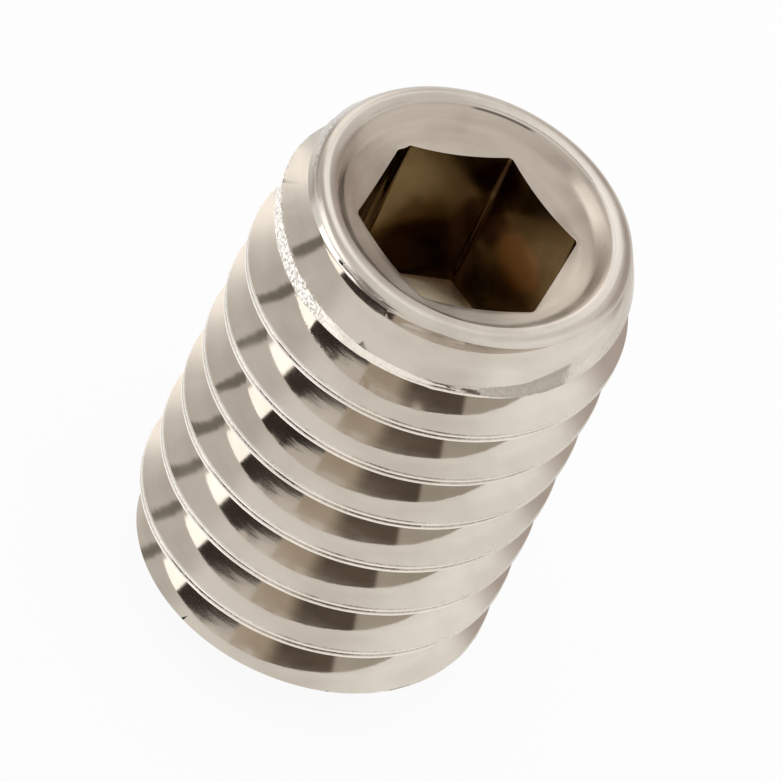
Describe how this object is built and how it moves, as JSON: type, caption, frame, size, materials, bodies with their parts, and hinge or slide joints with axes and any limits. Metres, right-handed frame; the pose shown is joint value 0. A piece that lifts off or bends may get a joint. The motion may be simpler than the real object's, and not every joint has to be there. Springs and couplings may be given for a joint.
{
  "type": "set screw",
  "caption": "Headless stainless set screw with a coarse right-hand thread, a dished hexagon socket at one end and a flat chamfered point at the other.",
  "frame": {"origin": "centre of the flat point face", "axes": "+Z along the screw from the point to the socket, +X through one corner of the hexagon"},
  "size_m": [0.0038, 0.0038, 0.006],
  "materials": {
    "steel": "bright"
  },
  "bodies": {
    "root": {"set_screw": "steel"}
  },
  "joints": []
}
